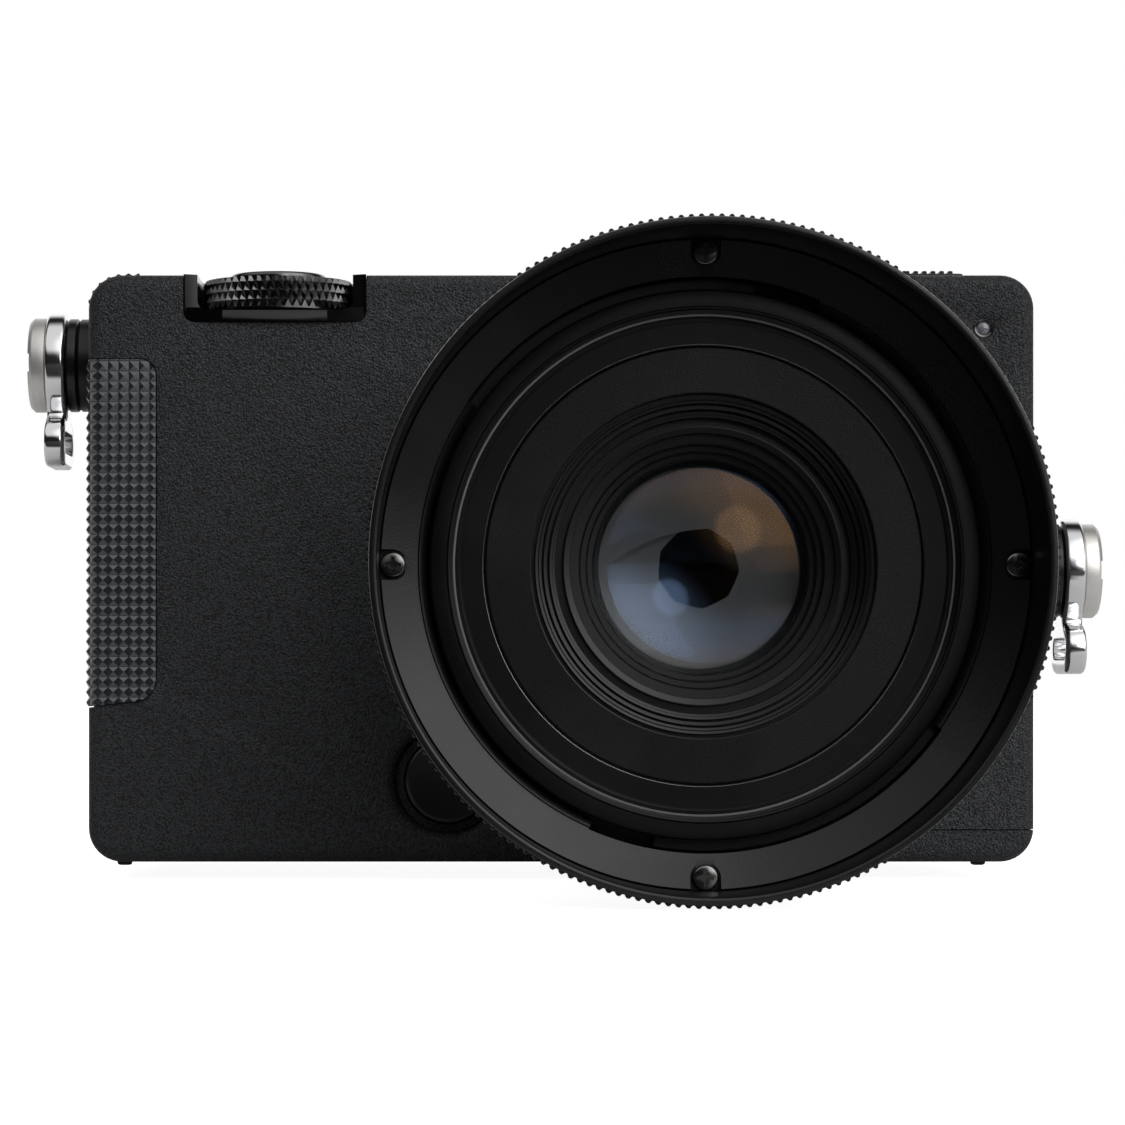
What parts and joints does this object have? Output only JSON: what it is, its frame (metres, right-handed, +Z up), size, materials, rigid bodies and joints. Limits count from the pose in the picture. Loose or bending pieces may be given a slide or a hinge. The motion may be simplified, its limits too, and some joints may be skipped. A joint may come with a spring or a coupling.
{
  "type": "mirrorless camera",
  "caption": "Flat box-shaped mirrorless camera with a bayonet prime lens, round metal lens hood, grip rubber, top dial, rear screen and coin-screwed strap eyelets.",
  "frame": {"origin": "mouth of the tripod socket in the base, straight below the lens axis", "axes": "+Z up, -Y the way the lens looks, +X to the right seen from the front; the grip is at -X"},
  "size_m": [0.1306, 0.1061, 0.0729],
  "materials": {
    "casing_paint": "fine pebbled black paint",
    "sink_metal": "black anodised, satin",
    "screen_plastic": "fine grained",
    "screen_glass": "polished, dark behind",
    "circuit_board": "solder mask",
    "sensor_cover": "coated, glossy",
    "bare_steel": "turned",
    "lamp_lens": "milky",
    "grip_skin": "small pyramids",
    "soft_rubber": "matt",
    "gloss_black": "polished",
    "dial_metal": "black anodised, knurled",
    "key_black": "satin",
    "record_red": "satin",
    "battery_case": "moulded",
    "door_paint": "fine pebbled",
    "latch_plastic": "moulded",
    "boss_black": "black anodised",
    "washer_black": "satin",
    "screw_nickel": "satin nickel",
    "eyelet_chrome": "mirror polished",
    "lens_black": "black anodised",
    "ring_black": "black anodised, knurled",
    "trap_black": "fine grained",
    "coated_glass": "multi-coated",
    "blade_black": "matt black",
    "hood_black": "satin black",
    "hood_screw_steel": "bright"
  },
  "bodies": {
    "camera": {"front_shell": "casing_paint", "base_panel": "casing_paint", "back_cover": "casing_paint", "heat_sink": "sink_metal", "screen_frame": "screen_plastic", "screen_glass": "screen_glass", "main_board": "circuit_board", "image_sensor": "sensor_cover", "mount_ring": "bare_steel", "lens_bayonet": "bare_steel", "tripod_bush": "bare_steel", "port_sockets": "bare_steel", "focus_lamp": "lamp_lens", "grip_rubber": "grip_skin", "thumb_rubber": "soft_rubber", "feet": "soft_rubber", "dial_seat": "gloss_black", "battery": "battery_case", "memory_card": "battery_case", "strap_sockets": "boss_black", "strap_washers": "washer_black", "strap_screws": "screw_nickel", "lens_barrel": "lens_black", "front_baffle": "trap_black", "front_glass": "coated_glass", "rear_glass": "coated_glass"},
    "release_button": {"release_button": "key_black"},
    "lock_pin": {"lock_pin": "bare_steel"},
    "shutter_button": {"shutter_button": "gloss_black"},
    "front_dial": {"front_dial": "dial_metal"},
    "power_switch": {"power_switch": "key_black"},
    "mode_switch": {"mode_switch": "key_black"},
    "record_button": {"record_button": "record_red"},
    "rear_dial": {"rear_dial": "dial_metal"},
    "select_button": {"select_button": "key_black"},
    "quick_button": {"quick_button": "key_black"},
    "menu_button": {"menu_button": "key_black"},
    "tone_button": {"tone_button": "key_black"},
    "view_button": {"view_button": "key_black"},
    "play_button": {"play_button": "key_black"},
    "port_door": {"port_door": "screen_plastic"},
    "battery_door": {"battery_door": "door_paint"},
    "battery_latch": {"battery_latch": "latch_plastic"},
    "eyelet_left": {"eyelet_left": "eyelet_chrome"},
    "eyelet_right": {"eyelet_right": "eyelet_chrome"},
    "aperture_ring": {"aperture_ring": "ring_black"},
    "focus_ring": {"focus_ring": "ring_black"},
    "focus_switch": {"focus_switch": "trap_black"},
    "hood": {"hood_ring": "hood_black", "hood_flange": "hood_black", "hood_screws": "hood_screw_steel"},
    "iris_blade_1": {"iris_blade_1": "blade_black"},
    "iris_blade_2": {"iris_blade_2": "blade_black"},
    "iris_blade_3": {"iris_blade_3": "blade_black"},
    "iris_blade_4": {"iris_blade_4": "blade_black"},
    "iris_blade_5": {"iris_blade_5": "blade_black"},
    "iris_blade_6": {"iris_blade_6": "blade_black"},
    "iris_blade_7": {"iris_blade_7": "blade_black"},
    "iris_blade_8": {"iris_blade_8": "blade_black"},
    "iris_blade_9": {"iris_blade_9": "blade_black"}
  },
  "joints": [
    {"name": "release_press", "type": "slide", "parent": "camera", "child": "release_button", "axis": [0, 1, 0], "range_m": [0, 0.0012], "stiffness_N_per_m": 600, "springref_m": -0.001},
    {"name": "lock_pin_slide", "type": "slide", "parent": "camera", "child": "lock_pin", "axis": [0, 1, 0], "range_m": [0, 0.0012]},
    {"name": "shutter_press", "type": "slide", "parent": "camera", "child": "shutter_button", "axis": [0, 0, -1], "range_m": [0, 0.0009], "stiffness_N_per_m": 400, "springref_m": -0.001},
    {"name": "record_press", "type": "slide", "parent": "camera", "child": "record_button", "axis": [0, 0, -1], "range_m": [0, 0.0005], "stiffness_N_per_m": 600, "springref_m": -0.001},
    {"name": "select_press", "type": "slide", "parent": "camera", "child": "select_button", "axis": [0, -1, 0], "range_m": [0, 0.0005], "stiffness_N_per_m": 500, "springref_m": -0.001},
    {"name": "quick_press", "type": "slide", "parent": "camera", "child": "quick_button", "axis": [0, -1, 0], "range_m": [0, 0.0005], "stiffness_N_per_m": 500, "springref_m": -0.001},
    {"name": "menu_press", "type": "slide", "parent": "camera", "child": "menu_button", "axis": [0, -1, 0], "range_m": [0, 0.0005], "stiffness_N_per_m": 500, "springref_m": -0.001},
    {"name": "tone_press", "type": "slide", "parent": "camera", "child": "tone_button", "axis": [0, -1, 0], "range_m": [0, 0.0005], "stiffness_N_per_m": 500, "springref_m": -0.001},
    {"name": "view_press", "type": "slide", "parent": "camera", "child": "view_button", "axis": [0, -1, 0], "range_m": [0, 0.0005], "stiffness_N_per_m": 500, "springref_m": -0.001},
    {"name": "play_press", "type": "slide", "parent": "camera", "child": "play_button", "axis": [0, -1, 0], "range_m": [0, 0.0005], "stiffness_N_per_m": 500, "springref_m": -0.001},
    {"name": "power_slide", "type": "slide", "parent": "camera", "child": "power_switch", "axis": [-1, 0, 0], "range_m": [0, 0.003]},
    {"name": "mode_slide", "type": "slide", "parent": "camera", "child": "mode_switch", "axis": [1, 0, 0], "range_m": [0, 0.004]},
    {"name": "focus_switch_slide", "type": "slide", "parent": "camera", "child": "focus_switch", "axis": [0, 0, -1], "range_m": [0, 0.003]},
    {"name": "latch_slide", "type": "slide", "parent": "battery_door", "child": "battery_latch", "axis": [1, 0, 0], "range_m": [0, 0.0025]},
    {"name": "front_dial_turn", "type": "hinge", "parent": "camera", "child": "front_dial", "pos_m": [-0.04805, -0.00865, 0.068], "axis": [0, 0, 1], "continuous": true},
    {"name": "rear_dial_turn", "type": "hinge", "parent": "camera", "child": "rear_dial", "pos_m": [-0.0525, 0.022, 0.037], "axis": [0, 1, 0], "continuous": true},
    {"name": "focus_turn", "type": "hinge", "parent": "camera", "child": "focus_ring", "pos_m": [0, -0.0494, 0.0339], "axis": [0, -1, 0], "continuous": true},
    {"name": "aperture_turn", "type": "hinge", "parent": "camera", "child": "aperture_ring", "pos_m": [0, -0.0305, 0.0339], "axis": [0, -1, 0], "range_deg": [-39.4, 26.2]},
    {"name": "hood_turn", "type": "hinge", "parent": "camera", "child": "hood", "pos_m": [0, -0.072, 0.0339], "axis": [0, -1, 0], "range_deg": [-75, 0]},
    {"name": "port_door_open", "type": "hinge", "parent": "camera", "child": "port_door", "pos_m": [0.0416, -0.0143, 0.032], "axis": [0, 0, -1], "range_deg": [0, 90]},
    {"name": "battery_door_open", "type": "hinge", "parent": "camera", "child": "battery_door", "pos_m": [-0.031, -0.004, 0.0008], "axis": [0, -1, 0], "range_deg": [0, 95]},
    {"name": "eyelet_left_swing", "type": "hinge", "parent": "camera", "child": "eyelet_left", "pos_m": [-0.0752, -0.003, 0.0602], "axis": [1, 0, 0], "range_deg": [-100, 100]},
    {"name": "eyelet_right_swing", "type": "hinge", "parent": "camera", "child": "eyelet_right", "pos_m": [0.0486, -0.003, 0.035], "axis": [1, 0, 0], "range_deg": [-100, 100]},
    {"name": "blade_1_turn", "type": "hinge", "parent": "camera", "child": "iris_blade_1", "pos_m": [0.01595, -0.055, 0.03671], "axis": [0, -1, 0], "range_deg": [-17.75, 11.8]},
    {"name": "blade_2_turn", "type": "hinge", "parent": "camera", "child": "iris_blade_2", "pos_m": [0.01041, -0.055, 0.04631], "axis": [0, -1, 0], "range_deg": [-17.75, 11.8]},
    {"name": "blade_3_turn", "type": "hinge", "parent": "camera", "child": "iris_blade_3", "pos_m": [0, -0.055, 0.0501], "axis": [0, -1, 0], "range_deg": [-17.75, 11.8]},
    {"name": "blade_4_turn", "type": "hinge", "parent": "camera", "child": "iris_blade_4", "pos_m": [-0.01041, -0.055, 0.04631], "axis": [0, -1, 0], "range_deg": [-17.75, 11.8]},
    {"name": "blade_5_turn", "type": "hinge", "parent": "camera", "child": "iris_blade_5", "pos_m": [-0.01595, -0.055, 0.03671], "axis": [0, -1, 0], "range_deg": [-17.75, 11.8]},
    {"name": "blade_6_turn", "type": "hinge", "parent": "camera", "child": "iris_blade_6", "pos_m": [-0.01403, -0.055, 0.0258], "axis": [0, -1, 0], "range_deg": [-17.75, 11.8]},
    {"name": "blade_7_turn", "type": "hinge", "parent": "camera", "child": "iris_blade_7", "pos_m": [-0.00554, -0.055, 0.01868], "axis": [0, -1, 0], "range_deg": [-17.75, 11.8]},
    {"name": "blade_8_turn", "type": "hinge", "parent": "camera", "child": "iris_blade_8", "pos_m": [0.00554, -0.055, 0.01868], "axis": [0, -1, 0], "range_deg": [-17.75, 11.8]},
    {"name": "blade_9_turn", "type": "hinge", "parent": "camera", "child": "iris_blade_9", "pos_m": [0.01403, -0.055, 0.0258], "axis": [0, -1, 0], "range_deg": [-17.75, 11.8]}
  ],
  "couplings": [
    {"joint": "lock_pin_slide", "follows": "release_press", "ratio": 1},
    {"joint": "blade_1_turn", "follows": "aperture_turn", "ratio": 0.45},
    {"joint": "blade_2_turn", "follows": "aperture_turn", "ratio": 0.45},
    {"joint": "blade_3_turn", "follows": "aperture_turn", "ratio": 0.45},
    {"joint": "blade_4_turn", "follows": "aperture_turn", "ratio": 0.45},
    {"joint": "blade_5_turn", "follows": "aperture_turn", "ratio": 0.45},
    {"joint": "blade_6_turn", "follows": "aperture_turn", "ratio": 0.45},
    {"joint": "blade_7_turn", "follows": "aperture_turn", "ratio": 0.45},
    {"joint": "blade_8_turn", "follows": "aperture_turn", "ratio": 0.45},
    {"joint": "blade_9_turn", "follows": "aperture_turn", "ratio": 0.45}
  ]
}
